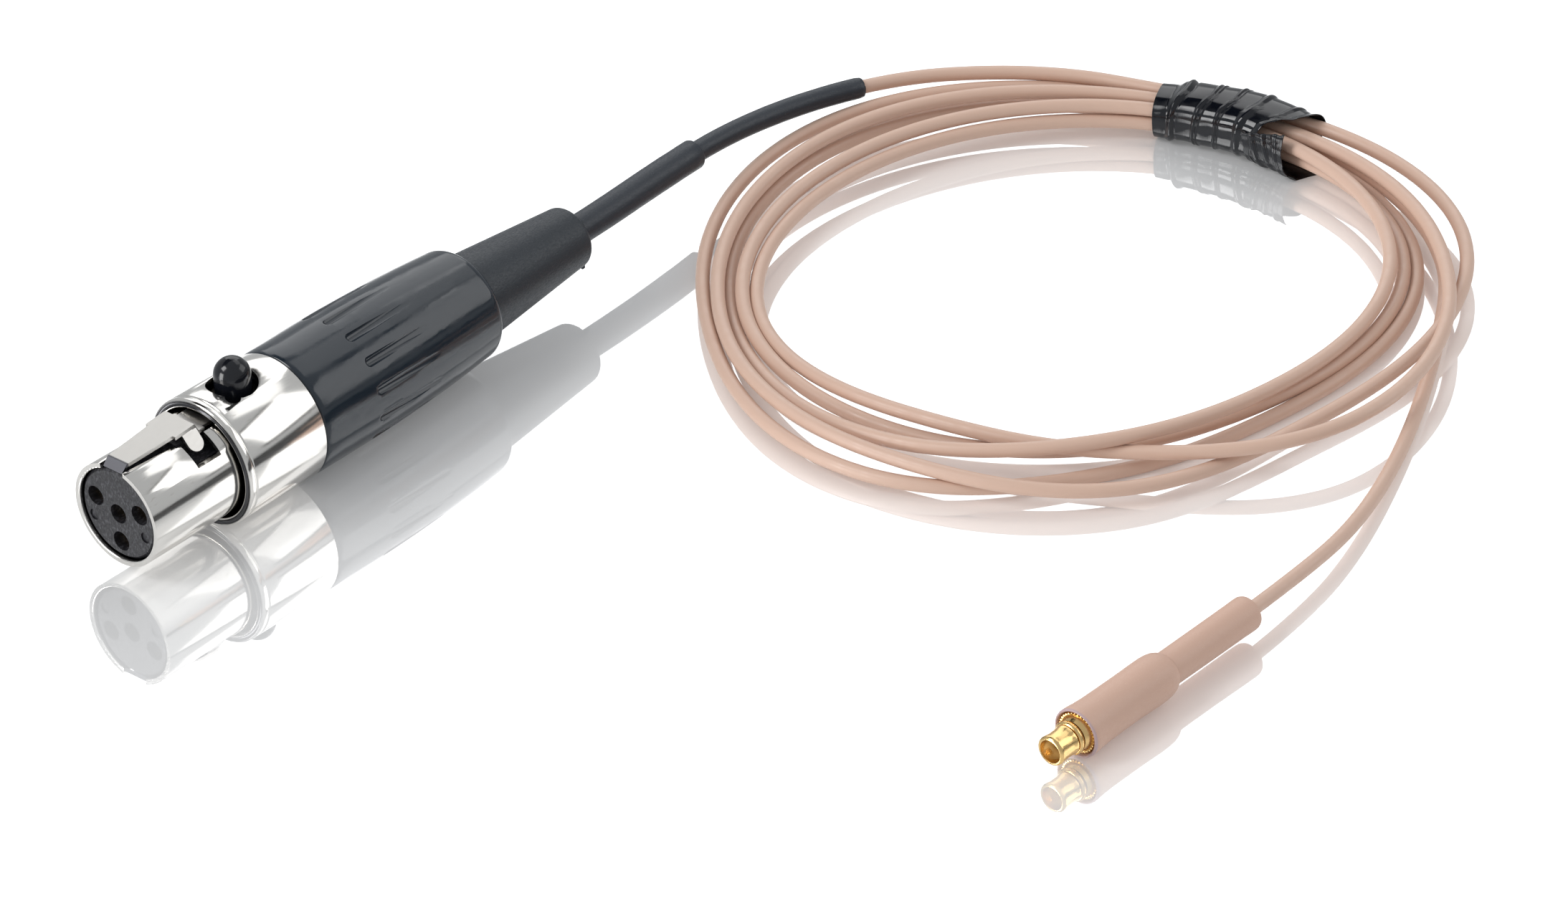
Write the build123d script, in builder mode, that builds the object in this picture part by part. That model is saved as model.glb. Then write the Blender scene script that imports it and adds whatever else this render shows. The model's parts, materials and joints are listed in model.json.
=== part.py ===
"""Detachable cable of a miniature headset microphone.

A locking four-contact miniature plug for a belt-pack transmitter, a thin coaxial cable that is
wound into a loose taped coil, and a gilt push-on coaxial plug for the microphone boom.

Millimetres, +Z up. The plug lies along X with its mating face towards -X, its button upwards and
its barrel on the plane Z = 0. The origin is under the middle of the plug.
"""

import os
from math import cos, pi, radians, sin, tan

from build123d import *

os.makedirs("parts", exist_ok=True)

# ---- locking plug: stations are distances behind the mating face, radii are about its axis ----
PLUG_LENGTH = 46.4
HANDLE_RADIUS = 4.95
AXIS_Z = HANDLE_RADIUS
NOSE_X = -PLUG_LENGTH / 2
FIT_GAP = 0.05

NOSE_RADIUS = 4.0
NOSE_WALL = 0.40
NOSE_END = 15.5
RIM_ROUND = 0.28
RIM_INNER_ROUND = 0.10

INSERT_RADIUS = 3.55
INSERT_FACE = 0.22
INSERT_END = 9.0
INSERT_EDGE = 0.22
INSERT_POCKET_START = 5.2
INSERT_POCKET_END = 10.0
INSERT_POCKET_FLOOR = 2.3
INSERT_POCKET_HALF_WIDTH = 2.7
CONTACT_HOLE_RADIUS = 0.75
CONTACT_CIRCLE_RADIUS = 2.25
CONTACT_ANGLES = (18.0, 162.0, 270.0)
DIMPLE_CIRCLE_RADIUS = 2.7
DIMPLE_ANGLES = (-22.0, 202.0)
DIMPLE_RADIUS = 0.42
DIMPLE_DEPTH = 0.12

CONTACT_RADIUS = 0.71
CONTACT_BORE_RADIUS = 0.52
CONTACT_START = 1.2
CONTACT_BORE_END = 7.4
CONTACT_SHANK_END = 8.8
CONTACT_END = 11.4
SOLDER_CUP_RADIUS = 0.58
SOLDER_CUP_BORE = 0.36
SOLDER_CUP_FLOOR = 9.2

COLLAR_RADIUS = 4.92
COLLAR_BORE_RADIUS = 4.45
COLLAR_START = 8.3
COLLAR_END = 15.9
LIP_BORE_RADIUS = 4.30
LIP_BORE_END = 8.7
# Front of the lip, with a groove turned in it: distance behind the collar's front, radius.
LIP_FACE = [
    (0.10, 4.30),
    (0.03, 4.33),
    (0, 4.40),
    (0.02, 4.46),
    (0.10, 4.50),
    (0.12, 4.60),
    (0.09, 4.70),
    (0.02, 4.74),
]
# Edge of the lip and the groove behind it: distance behind the collar's front, fall from its barrel.
COLLAR_LIP = [(0.04, 0.12), (0.14, 0.03), (0.26, 0), (0.52, 0), (0.58, 0.07), (0.68, 0.07), (0.74, 0)]
BUTTON_HOLE_RADIUS = 1.88
BUTTON_HOLE_STATION = 12.0
BUTTON_NOTCH_RADIUS = 0.55
BUTTON_NOTCH = (10.72, -1.35)

HANDLE_START = 16.0
HANDLE_END = 35.0
HANDLE_FRONT_EDGE = [(16.5, 4.93), (16.12, 4.88), (16.0, 4.73)]
HANDLE_CREST = 21.0
HANDLE_REAR_RADIUS = 4.35
HANDLE_REAR_ROUND = 0.85
HANDLE_REAR_MIDDLE = (34.75, 4.10)
HANDLE_BORE_RADIUS = 3.90
HANDLE_MOUTH_RADIUS = 3.45
HANDLE_MOUTH_LENGTH = 1.6
HANDLE_NECK_START = 14.0
HANDLE_NECK_RADIUS = COLLAR_BORE_RADIUS - FIT_GAP
HANDLE_NECK_BORE = NOSE_RADIUS + FIT_GAP
GROOVE_COUNT = 14
GROOVE_START = 21.7
GROOVE_END = 29.5
GROOVE_RADIUS = 0.42
GROOVE_START_RADIUS = 5.06
GROOVE_END_RADIUS = 5.24

BOOT_START = 27.0
BOOT_FLANGE_START = 30.0
BOOT_FLANGE_RADIUS = 3.80
BOOT_NECK_RADIUS = 3.38
BOOT_END_RADIUS = 2.36
BOOT_END_ROUND = 0.60
BOOT_BORE_RADIUS = 1.20

CLAMP_START = 17.4
CLAMP_END = 24.0
CLAMP_RADIUS = 3.80
CLAMP_NOSE_RADIUS = 2.60
CLAMP_BORE_RADIUS = 0.57
CLAMP_SHOULDER = 21.0
CLAMP_SLIT = 0.50
CLAMP_SLIT_START = 19.0

# ---- sprung latch: hinges at its front tip, which sits in a notch in the rim of the nose ----
LATCH_TOP = [(0.12, 3.68), (0.66, 4.22), (6.80, 4.56), (7.15, 3.89), (13.8, 3.89)]
LATCH_UNDERSIDE = [(13.8, 3.61), (6.88, 3.61), (6.55, 4.28), (0.80, 3.94), (0.30, 3.48)]
LATCH_FRONT_WIDTH = 1.8
LATCH_REAR_WIDTH = 2.4
LATCH_SHOULDER_WIDTH = 2.9
LATCH_SHOULDER_START = 4.9
LATCH_SHOULDER_END = 7.7
LATCH_PAD_RADIUS = 1.70
EAR_START = 5.55
EAR_END = 6.9
EAR_TOP = (1.20, 4.36)
EAR_FOOT = (2.35, 3.0)
EAR_THICKNESS = 0.22
SLOT_GAP = 0.15
EAR_WINDOW = [(5.1, 4.2), (5.2, 2.4), (7.45, 2.4), (7.45, 4.2)]

BUTTON_STATION = 12.1
BUTTON_RADIUS = 1.35
BUTTON_DOME_CENTRE = 5.45

# ---- cable and the black heat-shrink sleeves at the plug ----
CABLE_RADIUS = 0.53
CABLE_END = 16.5
WIRE_RADIUS = 0.22
WIRE_START = 9.6
WIRE_STRAIGHT_END = 12.2
WIRE_BEND = 15.0
WIRE_OFFSET = 0.25
LINK_REACH = 12.8
LINK_BEND_RADIUS = 0.6
SLEEVE_GAP = 0.04
THICK_SLEEVE_RADIUS = 1.15
THIN_SLEEVE_RADIUS = 0.80

# Route of the cable out of the plug as far as the coil, and from the coil to the coaxial plug.
LEAD_ROUTE = [
    (17.0, 0.0, AXIS_Z),
    (25.0, 0.0, AXIS_Z),
    (33.3, 0.45, 4.97),
    (41.2, 1.0, 4.6),
    (49.6, 0.1, 3.85),
    (57.2, -2.5, 3.1),
    (62.3, -7.2, 2.8),
    (65.6, -12.4, 2.7),
    (67.3, -17.6, 2.65),
]
TAIL_ROUTE = [
    (61.1, -50.9, 0.9),
    (54.2, -55.2, 0.6),
    (46.9, -59.3, 0.55),
    (39.2, -62.9, 0.7),
    (31.8, -65.6, 1.2),
    (25.0, -66.9, 1.75),
    (18.1, -67.2, 1.9),
]

# ---- taped coil ----
COIL_CENTRE = (43.3, -29.7)
COIL_OUTER_RADIUS = 28.3
COIL_OUTER_SHIFT = (-0.7, -0.8)
COIL_INNER_RADIUS = 22.4
COIL_INNER_SHIFT = (0.6, 0.2)
COIL_HEIGHT = 3.8
COIL_EDGE_ROUND = 1.3
TAPE_RADIUS = 25.3
TAPE_WIDTH = 5.6
TAPE_HEIGHT = 4.7
TAPE_EDGE_ROUND = 1.6
TAPE_START_ANGLE = -3.0
TAPE_ARC = 27.0

# ---- push-on coaxial plug: stations are distances behind its rim ----
MICRO_TIP = (-2.8, -67.2, 1.9)
MICRO_GAP = 0.02
MICRO_BARREL_RADIUS = 1.10
MICRO_RIM_CHAMFER = 0.10
MICRO_WAIST_START = 1.75
MICRO_WAIST_END = 2.35
MICRO_WAIST_RADIUS = 0.93
MICRO_CONE_RADIUS = 1.15
MICRO_BORE_RADIUS = 0.84
MICRO_BORE_DEPTH = 1.5
MICRO_RING_START = 1.85
MICRO_RING_MIDDLE = 2.05
MICRO_RING_END = 2.25
MICRO_RING_RADIUS = 1.24
MICRO_RING_SIDE_OUTER = 1.17
MICRO_RING_SIDE_INNER = 1.00
MICRO_RING_SPLIT = 0.30
MICRO_BODY_START = 2.75
MICRO_BODY_RADIUS = 1.36
MICRO_BODY_END = 3.8
MICRO_STEM_RADIUS = 0.80
MICRO_STEM_END = 5.9
MICRO_CORE_RADIUS = 0.30
MICRO_PIN_RADIUS = 0.20
MICRO_PIN_START = 0.8
MICRO_PIN_TAPER = 0.2
MICRO_DIELECTRIC_START = 1.3
MICRO_FLANGE_START = 2.80
MICRO_FLANGE_END = 3.30
MICRO_FLANGE_RADIUS = 1.52
MICRO_FLANGE_TEETH = 26
MICRO_TOOTH_DEPTH = 0.09
MICRO_FERRULE_RADIUS = 1.44
MICRO_FERRULE_END = 8.4
MICRO_SLEEVE_START = 2.65
MICRO_FLARE_END = 4.25
MICRO_SLEEVE_RADIUS = 1.70
MICRO_MOUTH_RADIUS = 1.84
MICRO_SLEEVE_WALL = 0.18
MICRO_SHOULDER = [(11.0, 1.70), (11.65, 1.58), (12.0, 1.32)]
MICRO_NECK_START = 10.8
MICRO_TAPER_START = 10.0
MICRO_SMALL_SLEEVE_START = 8.6
MICRO_SMALL_SLEEVE_RADIUS = 1.22
MICRO_SLEEVE_END = 20.9
MICRO_END_CHAMFER = 0.10


def section_plane(origin):
    """Plane through a plug's axis: local x runs back along the axis, local y is the radius."""
    return Plane(origin=origin, x_dir=(1, 0, 0), z_dir=(0, -1, 0))


PLUG_SECTION = section_plane((NOSE_X, 0, AXIS_Z))
PLUG_AXIS = Axis((NOSE_X, 0, AXIS_Z), (1, 0, 0))
MICRO_SECTION = section_plane(MICRO_TIP)
MICRO_AXIS = Axis(MICRO_TIP, (1, 0, 0))


def station_plane(station):
    """Plane across the locking plug's axis, facing back: local x is -Y and local y is +Z."""
    return Plane(origin=(NOSE_X + station, 0, AXIS_Z), x_dir=(0, -1, 0), z_dir=(-1, 0, 0))


def top_plane(station, height):
    """Horizontal plane above the locking plug's axis."""
    return Plane(origin=(NOSE_X + station, 0, AXIS_Z + height), x_dir=(1, 0, 0), z_dir=(0, 0, 1))


def save(piece, name):
    piece.part.label = name
    export_step(piece.part, f"parts/{name}.step")


def turned(points, section=PLUG_SECTION, axis=PLUG_AXIS):
    """Solid of revolution from an outline of (station, radius) points."""
    with BuildPart() as piece:
        with BuildSketch(section):
            with BuildLine():
                Polyline(*points, close=True)
            make_face()
        revolve(axis=axis)
    return piece


def corner_radii(route):
    """Largest arcs that the two runs at each corner of a route allow."""
    radii = []
    for before, corner, after in zip(route, route[1:], route[2:]):
        run_in = Vector(*corner) - Vector(*before)
        run_out = Vector(*after) - Vector(*corner)
        shorter = min(run_in.length, run_out.length)
        radii.append(0.45 * shorter / tan(radians(run_in.get_angle(run_out) / 2)))
    return radii


def rounded_path(route, radii):
    """Route with its corners rounded by tangent arcs."""
    with BuildLine() as path:
        FilletPolyline(*route, radius=radii)
    return path.wires()[0]


def route_tube(route, radii, outer, inner=0.0):
    """Round bar, or tube, along a route of straight runs joined by tangent arcs."""
    start = Vector(*route[0])
    heading = Vector(*route[1]) - start
    with BuildPart() as tube:
        with BuildSketch(Plane(origin=start, z_dir=heading)):
            Circle(outer)
            if inner > 0:
                Circle(inner, mode=Mode.SUBTRACT)
        sweep(path=rounded_path(route, radii))
    return tube


def midpoint(a, b):
    return tuple((low + high) / 2 for low, high in zip(a, b))


def ring_point(radius, degrees):
    """Local (x, y) of a point on a circle about an axis."""
    return radius * cos(radians(degrees)), radius * sin(radians(degrees))


CONTACT_PLACES = [ring_point(CONTACT_CIRCLE_RADIUS, angle) for angle in CONTACT_ANGLES] + [(0.0, 0.0)]
LATCH_CLEARANCE = [
    (-1.0, LATCH_FRONT_WIDTH / 2 + SLOT_GAP),
    (LATCH_SHOULDER_START - SLOT_GAP, LATCH_REAR_WIDTH / 2 + SLOT_GAP),
    (LATCH_SHOULDER_START - SLOT_GAP, LATCH_SHOULDER_WIDTH / 2 + SLOT_GAP),
    (BUTTON_STATION, LATCH_SHOULDER_WIDTH / 2 + SLOT_GAP),
]


def mirrored_outline(half):
    """Closed outline, symmetrical about local x, from the points of its upper half."""
    return half + [(x, -y) for x, y in reversed(half)]


# ---- contact insert: black phenolic disc that fills the nose ----
with BuildPart() as contact_insert:
    with BuildSketch(PLUG_SECTION):
        with BuildLine():
            Polyline(
                (INSERT_FACE, 0),
                (INSERT_FACE, INSERT_RADIUS - INSERT_EDGE),
                (INSERT_FACE + INSERT_EDGE, INSERT_RADIUS),
                (INSERT_END, INSERT_RADIUS),
                (INSERT_END, 0),
                close=True,
            )
        make_face()
    revolve(axis=PLUG_AXIS)
    with BuildSketch(station_plane(0)):
        with Locations(*CONTACT_PLACES):
            Circle(CONTACT_HOLE_RADIUS)
    extrude(amount=-PLUG_LENGTH, mode=Mode.SUBTRACT)
    with BuildSketch(station_plane(0)):
        with Locations(*[ring_point(DIMPLE_CIRCLE_RADIUS, angle) for angle in DIMPLE_ANGLES]):
            Circle(DIMPLE_RADIUS)
    extrude(amount=-INSERT_FACE - DIMPLE_DEPTH, mode=Mode.SUBTRACT)
    with BuildSketch(top_plane(0, INSERT_POCKET_FLOOR)):
        with Locations(((INSERT_POCKET_START + INSERT_POCKET_END) / 2, 0)):
            Rectangle(INSERT_POCKET_END - INSERT_POCKET_START, 2 * INSERT_POCKET_HALF_WIDTH)
    extrude(amount=INSERT_RADIUS, mode=Mode.SUBTRACT)
save(contact_insert, "contact_insert")


# ---- socket contacts: turned and gilt, with a solder cup behind ----
for number, (across, up) in enumerate(CONTACT_PLACES, start=1):
    origin = (NOSE_X, -across, AXIS_Z + up)
    contact = turned(
        [
            (CONTACT_START, CONTACT_BORE_RADIUS),
            (CONTACT_START, CONTACT_RADIUS),
            (CONTACT_SHANK_END, CONTACT_RADIUS),
            (CONTACT_SHANK_END, SOLDER_CUP_RADIUS),
            (CONTACT_END, SOLDER_CUP_RADIUS),
            (CONTACT_END, SOLDER_CUP_BORE),
            (SOLDER_CUP_FLOOR, SOLDER_CUP_BORE),
            (SOLDER_CUP_FLOOR, 0),
            (CONTACT_BORE_END, 0),
            (CONTACT_BORE_END, CONTACT_BORE_RADIUS),
        ],
        section_plane(origin),
        Axis(origin, (1, 0, 0)),
    )
    save(contact, f"contact_{number}")


# ---- nose shell: nickelled tube with a rounded rim, a slot for the latch and two ear windows ----
with BuildPart() as nose_shell:
    with BuildSketch(PLUG_SECTION):
        with BuildLine():
            Polyline(
                (0, NOSE_RADIUS - NOSE_WALL),
                (0, NOSE_RADIUS),
                (NOSE_END, NOSE_RADIUS),
                (NOSE_END, NOSE_RADIUS - NOSE_WALL),
                close=True,
            )
        face = make_face()
        rim = face.vertices().sort_by(Axis.X)[:2].sort_by(Axis.Z)
        fillet(rim[0], RIM_INNER_ROUND)
        fillet(rim[1], RIM_ROUND)
    revolve(axis=PLUG_AXIS)
    with BuildSketch(top_plane(0, NOSE_RADIUS / 2)):
        with BuildLine():
            Polyline(*mirrored_outline(LATCH_CLEARANCE), close=True)
        make_face()
        with Locations((BUTTON_STATION, 0)):
            Circle(LATCH_PAD_RADIUS + 2 * SLOT_GAP)
    extrude(amount=NOSE_RADIUS, mode=Mode.SUBTRACT)
    with BuildSketch(PLUG_SECTION):
        with BuildLine():
            Polyline(*EAR_WINDOW, close=True)
        make_face()
    extrude(amount=NOSE_RADIUS, both=True, mode=Mode.SUBTRACT)
save(nose_shell, "nose_shell")


# ---- collar sleeve: wide nickelled barrel round the back of the nose ----
with BuildPart() as collar_sleeve:
    with BuildSketch(PLUG_SECTION):
        with BuildLine():
            Polyline(
                *[(COLLAR_START + back, radius) for back, radius in LIP_FACE],
                *[(COLLAR_START + back, COLLAR_RADIUS - fall) for back, fall in COLLAR_LIP],
                (COLLAR_END, COLLAR_RADIUS),
                (COLLAR_END, COLLAR_BORE_RADIUS),
                (LIP_BORE_END, COLLAR_BORE_RADIUS),
                (LIP_BORE_END, LIP_BORE_RADIUS),
                close=True,
            )
        make_face()
    revolve(axis=PLUG_AXIS)
    with BuildSketch(top_plane(0, COLLAR_BORE_RADIUS / 2)):
        with Locations((BUTTON_HOLE_STATION, 0)):
            Circle(BUTTON_HOLE_RADIUS)
        with Locations(BUTTON_NOTCH):
            Circle(BUTTON_NOTCH_RADIUS)
    extrude(amount=COLLAR_RADIUS, mode=Mode.SUBTRACT)
save(collar_sleeve, "collar_sleeve")


# ---- latch lever: stamped strip with a raised catch, two bent ears and a pad for the button ----
LATCH_PLAN = [
    (0, LATCH_FRONT_WIDTH / 2),
    (LATCH_SHOULDER_START, LATCH_REAR_WIDTH / 2),
    (LATCH_SHOULDER_START, LATCH_SHOULDER_WIDTH / 2),
    (LATCH_SHOULDER_END, LATCH_SHOULDER_WIDTH / 2),
    (LATCH_SHOULDER_END, LATCH_REAR_WIDTH / 2),
    (BUTTON_STATION, LATCH_REAR_WIDTH / 2),
]
EAR_FALL = Vector(0, EAR_FOOT[0] - EAR_TOP[0], EAR_FOOT[1] - EAR_TOP[1])
EAR_WIDTH = EAR_END - EAR_START
EAR_ORIGIN = (NOSE_X + (EAR_START + EAR_END) / 2, EAR_TOP[0], AXIS_Z + EAR_TOP[1])
EAR_PLANE = Plane(origin=EAR_ORIGIN, x_dir=(1, 0, 0), z_dir=Vector(1, 0, 0).cross(EAR_FALL))

with BuildPart() as latch_lever:
    with BuildSketch(PLUG_SECTION):
        with BuildLine():
            Polyline(*LATCH_TOP, *LATCH_UNDERSIDE, close=True)
        make_face()
    extrude(amount=LATCH_PAD_RADIUS, both=True)
    with BuildSketch(top_plane(0, EAR_FOOT[1])):
        with BuildLine():
            Polyline(*mirrored_outline(LATCH_PLAN), close=True)
        make_face()
        with Locations((BUTTON_STATION, 0)):
            Circle(LATCH_PAD_RADIUS)
    extrude(amount=NOSE_RADIUS, mode=Mode.INTERSECT)
    with BuildSketch(EAR_PLANE):
        with Locations((0, (EAR_FALL.length - EAR_WIDTH / 2) / 2)):
            Rectangle(EAR_WIDTH, EAR_FALL.length - EAR_WIDTH / 2)
        with Locations((0, EAR_FALL.length - EAR_WIDTH / 2)):
            Circle(EAR_WIDTH / 2)
    ear = extrude(amount=EAR_THICKNESS / 2, both=True)
    mirror(ear, about=Plane.XZ)
save(latch_lever, "latch_lever")


# ---- release button: black domed stud on the latch's pad ----
with BuildPart() as release_button:
    with BuildSketch(section_plane((NOSE_X + BUTTON_STATION, 0, AXIS_Z))):
        with BuildLine():
            Line((0, LATCH_TOP[-1][1]), (BUTTON_RADIUS, LATCH_TOP[-1][1]))
            Line((BUTTON_RADIUS, LATCH_TOP[-1][1]), (BUTTON_RADIUS, BUTTON_DOME_CENTRE))
            JernArc((BUTTON_RADIUS, BUTTON_DOME_CENTRE), (0, 1), BUTTON_RADIUS, 90)
            Line((0, BUTTON_DOME_CENTRE + BUTTON_RADIUS), (0, LATCH_TOP[-1][1]))
        make_face()
    revolve(axis=Axis((NOSE_X + BUTTON_STATION, 0, 0), (0, 0, 1)))
save(release_button, "release_button")


# ---- handle: glossy barrel with a ring of finger grooves that fade towards the cable ----
with BuildPart() as groove_cutter:
    with BuildLine(PLUG_SECTION) as groove_axis:
        Line((GROOVE_START, GROOVE_START_RADIUS), (GROOVE_END, GROOVE_END_RADIUS))
    groove_run = groove_axis.edges()[0]
    with BuildSketch(Plane(origin=groove_run @ 0, z_dir=groove_run % 0)):
        Circle(GROOVE_RADIUS)
    extrude(amount=groove_run.length)
    with Locations(groove_run @ 0):
        Sphere(GROOVE_RADIUS)

with BuildPart() as handle:
    with BuildSketch(PLUG_SECTION):
        with BuildLine():
            Polyline(
                (HANDLE_CREST, HANDLE_RADIUS),
                *HANDLE_FRONT_EDGE,
                (HANDLE_START, HANDLE_NECK_RADIUS),
                (HANDLE_NECK_START, HANDLE_NECK_RADIUS),
                (HANDLE_NECK_START, HANDLE_NECK_BORE),
                (NOSE_END + FIT_GAP, HANDLE_NECK_BORE),
                (NOSE_END + FIT_GAP, HANDLE_BORE_RADIUS),
                (HANDLE_END - HANDLE_MOUTH_LENGTH, HANDLE_BORE_RADIUS),
                (HANDLE_END - HANDLE_MOUTH_LENGTH, HANDLE_MOUTH_RADIUS),
                (HANDLE_END, HANDLE_MOUTH_RADIUS),
                (HANDLE_END, HANDLE_REAR_RADIUS - HANDLE_REAR_ROUND),
            )
            ThreePointArc(
                (HANDLE_END, HANDLE_REAR_RADIUS - HANDLE_REAR_ROUND),
                HANDLE_REAR_MIDDLE,
                (HANDLE_END - HANDLE_REAR_ROUND, HANDLE_REAR_RADIUS),
            )
            TangentArc(
                (HANDLE_CREST, HANDLE_RADIUS),
                (HANDLE_END - HANDLE_REAR_ROUND, HANDLE_REAR_RADIUS),
                tangent=(1, 0),
            )
        make_face()
    revolve(axis=PLUG_AXIS)
    for groove in range(GROOVE_COUNT):
        add(groove_cutter.part.rotate(PLUG_AXIS, groove * 360 / GROOVE_COUNT), mode=Mode.SUBTRACT)
save(handle, "handle")


# ---- flex relief boot: tapered rubber held by a flange inside the handle's mouth ----
boot_outline = [
    (BOOT_START, BOOT_BORE_RADIUS),
    (BOOT_START, BOOT_NECK_RADIUS),
    (BOOT_FLANGE_START, BOOT_FLANGE_RADIUS),
    (HANDLE_END - HANDLE_MOUTH_LENGTH - FIT_GAP, BOOT_FLANGE_RADIUS),
    (HANDLE_END - HANDLE_MOUTH_LENGTH - FIT_GAP, BOOT_NECK_RADIUS),
    (HANDLE_END, BOOT_NECK_RADIUS),
    (PLUG_LENGTH, BOOT_END_RADIUS),
    (PLUG_LENGTH, BOOT_BORE_RADIUS),
]
with BuildPart() as flex_relief_boot:
    with BuildSketch(PLUG_SECTION):
        with BuildLine():
            Polyline(*boot_outline, close=True)
        face = make_face()
        fillet(face.vertices().sort_by(Axis.X)[-2:].sort_by(Axis.Z)[-1], BOOT_END_ROUND)
    revolve(axis=PLUG_AXIS)
save(flex_relief_boot, "flex_relief_boot")


# ---- cable clamp: slit chuck that the handle closes on the cable ----
with BuildPart() as cable_clamp:
    with BuildSketch(PLUG_SECTION):
        with BuildLine():
            Polyline(
                (CLAMP_START, CLAMP_BORE_RADIUS),
                (CLAMP_START, CLAMP_RADIUS),
                (CLAMP_SHOULDER, CLAMP_RADIUS),
                (CLAMP_END, CLAMP_NOSE_RADIUS),
                (CLAMP_END, CLAMP_BORE_RADIUS),
                close=True,
            )
        make_face()
    revolve(axis=PLUG_AXIS)
    with BuildSketch(station_plane(CLAMP_SLIT_START)):
        Rectangle(CLAMP_SLIT, 2 * HANDLE_RADIUS)
        Rectangle(2 * HANDLE_RADIUS, CLAMP_SLIT)
    extrude(amount=-CLAMP_END, mode=Mode.SUBTRACT)
save(cable_clamp, "cable_clamp")


# ---- wires behind the contacts, and the cable that they come out of ----
def wire_route(contact, offset):
    """Points from a contact's solder cup to a place on the cable's end face."""
    across, up = CONTACT_PLACES[contact - 1]
    return [
        (NOSE_X + WIRE_START, -across, AXIS_Z + up),
        (NOSE_X + WIRE_STRAIGHT_END, -across, AXIS_Z + up),
        (NOSE_X + WIRE_BEND, offset, AXIS_Z),
        (NOSE_X + CABLE_END, offset, AXIS_Z),
    ]


for name, contact, offset in (("shield_wire", 1, -WIRE_OFFSET), ("core_wire", 3, WIRE_OFFSET)):
    route = wire_route(contact, offset)
    save(route_tube(route, corner_radii(route), WIRE_RADIUS), name)

link_across, link_up = CONTACT_PLACES[1]
link_route = [
    (NOSE_X + WIRE_START, -link_across, AXIS_Z + link_up),
    (NOSE_X + LINK_REACH, -link_across, AXIS_Z + link_up),
    (NOSE_X + LINK_REACH, 0.0, AXIS_Z),
    (NOSE_X + WIRE_START, 0.0, AXIS_Z),
]
save(route_tube(link_route, [LINK_BEND_RADIUS] * 2, WIRE_RADIUS), "jumper_link")

with BuildPart() as inner_cable:
    with BuildSketch(station_plane(CABLE_END)):
        Circle(CABLE_RADIUS)
    extrude(amount=-(LEAD_ROUTE[0][0] - NOSE_X - CABLE_END))
save(inner_cable, "inner_cable")


# ---- free cable and the sleeves shrunk on it ----
lead_radii = corner_radii(LEAD_ROUTE)
tail_radii = corner_radii(TAIL_ROUTE)
for name, route, radii in (("lead_cable", LEAD_ROUTE, lead_radii), ("tail_cable", TAIL_ROUTE, tail_radii)):
    cable = route_tube(route, radii, CABLE_RADIUS)
    save(cable, name)
    length = rounded_path(route, radii).length
    expected = pi * CABLE_RADIUS**2 * length
    print(name, "radii", [round(radius, 1) for radius in radii])
    print(name, "length", round(length, 1), "volume", round(cable.part.volume, 2), "of", round(expected, 2))

thick_route = LEAD_ROUTE[:3] + [midpoint(LEAD_ROUTE[2], LEAD_ROUTE[3])]
thick_sleeve = route_tube(
    thick_route, lead_radii[:2], THICK_SLEEVE_RADIUS, THIN_SLEEVE_RADIUS + SLEEVE_GAP
)
save(thick_sleeve, "thick_shrink_sleeve")

thin_route = LEAD_ROUTE[:5] + [midpoint(LEAD_ROUTE[4], LEAD_ROUTE[5])]
thin_sleeve = route_tube(
    thin_route, lead_radii[:4], THIN_SLEEVE_RADIUS, CABLE_RADIUS + SLEEVE_GAP
)
save(thin_sleeve, "thin_shrink_sleeve")


# ---- coil of loose turns, narrow where the tape binds it and wide on the far side ----
def shifted(point, shift):
    return point[0] + shift[0], point[1] + shift[1]


with BuildPart() as cable_coil:
    with BuildSketch():
        with Locations(shifted(COIL_CENTRE, COIL_OUTER_SHIFT)):
            Circle(COIL_OUTER_RADIUS)
        with Locations(shifted(COIL_CENTRE, COIL_INNER_SHIFT)):
            Circle(COIL_INNER_RADIUS, mode=Mode.SUBTRACT)
    extrude(amount=COIL_HEIGHT)
    fillet(cable_coil.edges().filter_by(GeomType.CIRCLE), COIL_EDGE_ROUND)
save(cable_coil, "cable_coil")

TAPE_PLANE = Plane(
    origin=(*COIL_CENTRE, 0),
    x_dir=(cos(radians(TAPE_START_ANGLE)), sin(radians(TAPE_START_ANGLE)), 0),
    z_dir=(sin(radians(TAPE_START_ANGLE)), -cos(radians(TAPE_START_ANGLE)), 0),
)
with BuildPart() as tape_wrap:
    with BuildSketch(TAPE_PLANE):
        with Locations((TAPE_RADIUS, TAPE_HEIGHT / 2)):
            RectangleRounded(TAPE_WIDTH, TAPE_HEIGHT, TAPE_EDGE_ROUND)
    revolve(axis=Axis((*COIL_CENTRE, 0), (0, 0, 1)), revolution_arc=TAPE_ARC)
    add(cable_coil.part, mode=Mode.SUBTRACT)
save(tape_wrap, "tape_wrap")


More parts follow.
